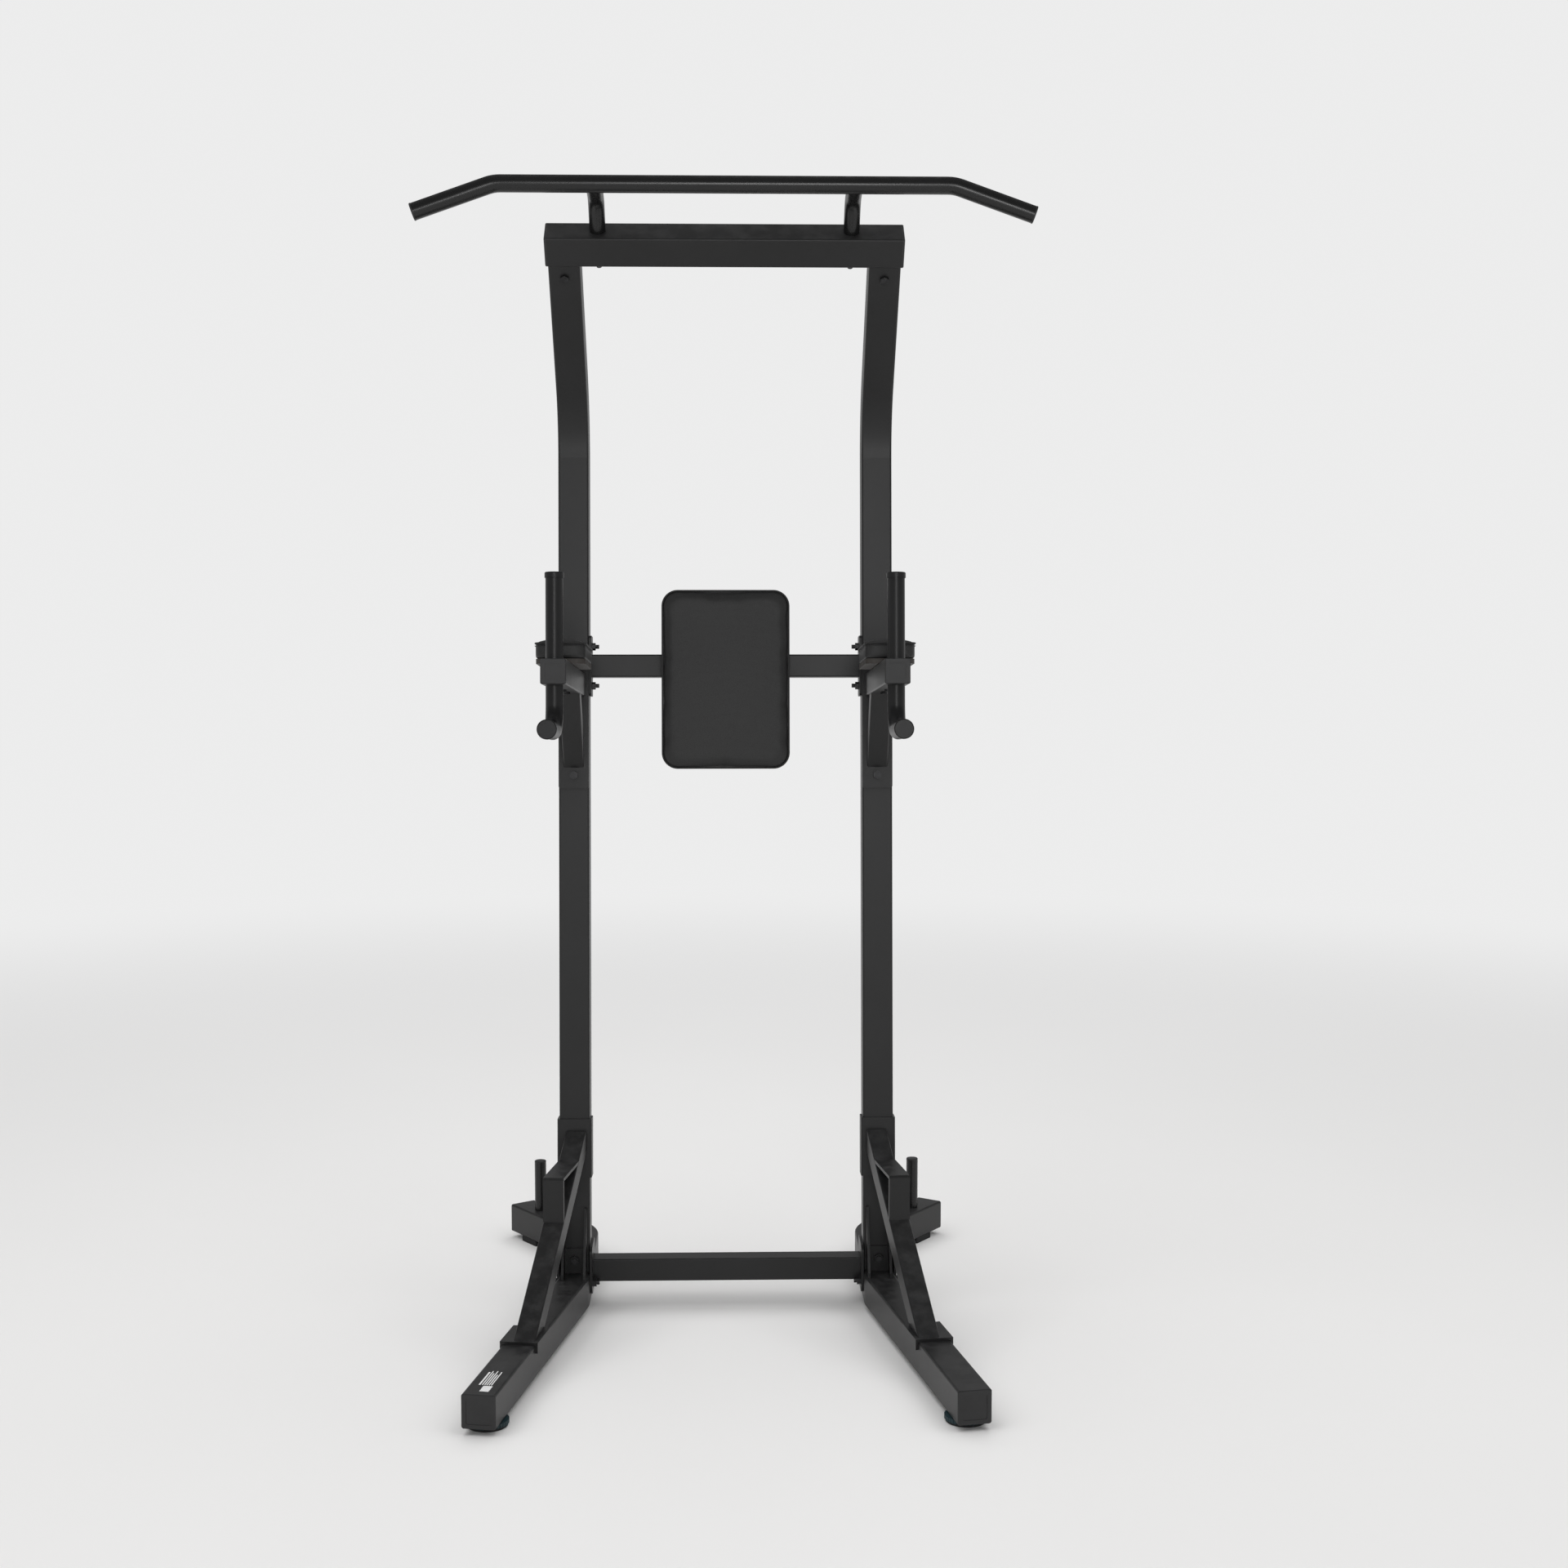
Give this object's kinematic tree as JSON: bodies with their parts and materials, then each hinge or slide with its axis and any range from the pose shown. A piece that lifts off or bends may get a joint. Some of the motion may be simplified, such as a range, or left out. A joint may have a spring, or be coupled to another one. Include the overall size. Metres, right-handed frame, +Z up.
{
  "type": "power tower",
  "caption": "Power tower: leaning steel posts on splayed legs, with a pull-up bar, padded arms with dip handles, a backrest, foot steps and band pegs.",
  "frame": {"origin": "centre of the footprint, on the floor", "axes": "+Z up, +X to the right as seen from the front, -Y towards the user's side (the front); left and right are as seen from the front"},
  "size_m": [1.1418, 1.2146, 2.1688],
  "materials": {
    "powder_coat": "satin",
    "gloss_coat": "gloss",
    "caps": "matt",
    "beam_caps": "matt",
    "vinyl": "matt grained",
    "plywood": "plain",
    "grip": "gloss",
    "bolts": "black zinc",
    "zinc": "plated",
    "foot_rubber": "matt",
    "foot_plastic": "matt"
  },
  "bodies": {
    "frame": {"arm_brace_left": "powder_coat", "arm_brace_right": "powder_coat", "arm_end_caps": "caps", "arm_plate_left": "powder_coat", "arm_plate_right": "powder_coat", "arm_tube_left": "powder_coat", "arm_tube_right": "powder_coat", "backrest_bar": "powder_coat", "backrest_board": "plywood", "backrest_pad": "vinyl", "backrest_plates": "powder_coat", "band_peg_caps": "caps", "band_peg_left": "gloss_coat", "band_peg_right": "gloss_coat", "bar_end_caps": "caps", "bar_supports": "gloss_coat", "base_tube_left": "powder_coat", "base_tube_right": "powder_coat", "beam_end_caps": "beam_caps", "beam_spigots": "powder_coat", "brace_saddle_left": "powder_coat", "brace_saddle_right": "powder_coat", "cross_brace_plates": "powder_coat", "diagonal_brace_left": "powder_coat", "diagonal_brace_right": "powder_coat", "elbow_board_left": "plywood", "elbow_board_right": "plywood", "elbow_pad_left": "vinyl", "elbow_pad_right": "vinyl", "foot_bracket_left": "powder_coat", "foot_bracket_right": "powder_coat", "foot_outer_plates": "powder_coat", "foot_step_left": "powder_coat", "foot_step_right": "powder_coat", "front_end_cap_left": "caps", "front_end_cap_right": "caps", "handle_tube_left": "gloss_coat", "handle_tube_right": "gloss_coat", "leg_saddle_left": "powder_coat", "leg_saddle_right": "powder_coat", "levelling_inserts": "zinc", "lower_cross_brace": "powder_coat", "lower_grip_left": "grip", "lower_grip_right": "grip", "m10_bolts": "bolts", "m10_nuts": "bolts", "m8_bolts": "bolts", "m8_nuts": "bolts", "pull_up_bar": "gloss_coat", "rear_end_caps": "caps", "rear_rubber_pads": "foot_rubber", "top_beam": "powder_coat", "upper_grip_left": "grip", "upper_grip_right": "grip", "upright_left": "powder_coat", "upright_right": "powder_coat"},
    "left_sole": {"levelling_sole_left": "foot_rubber"},
    "right_sole": {"levelling_sole_right": "foot_rubber"},
    "left_wheel": {"levelling_wheel_left": "foot_plastic"},
    "right_wheel": {"levelling_wheel_right": "foot_plastic"}
  },
  "joints": [
    {"name": "left_foot_height", "type": "slide", "parent": "frame", "child": "left_sole", "axis": [0, 0, -1], "range_m": [0, 0.01]},
    {"name": "left_wheel_turn", "type": "hinge", "parent": "left_sole", "child": "left_wheel", "pos_m": [-0.40827, -0.55033, 0], "axis": [0, 0, 1], "range_deg": [0, 2397.6]},
    {"name": "right_foot_height", "type": "slide", "parent": "frame", "child": "right_sole", "axis": [0, 0, -1], "range_m": [0, 0.01]},
    {"name": "right_wheel_turn", "type": "hinge", "parent": "right_sole", "child": "right_wheel", "pos_m": [0.40827, -0.55033, 0], "axis": [0, 0, 1], "range_deg": [0, 2397.6]}
  ],
  "couplings": [
    {"joint": "left_foot_height", "follows": "left_wheel_turn", "m_per_rad": 0.00023873},
    {"joint": "right_foot_height", "follows": "right_wheel_turn", "m_per_rad": 0.00023873}
  ]
}
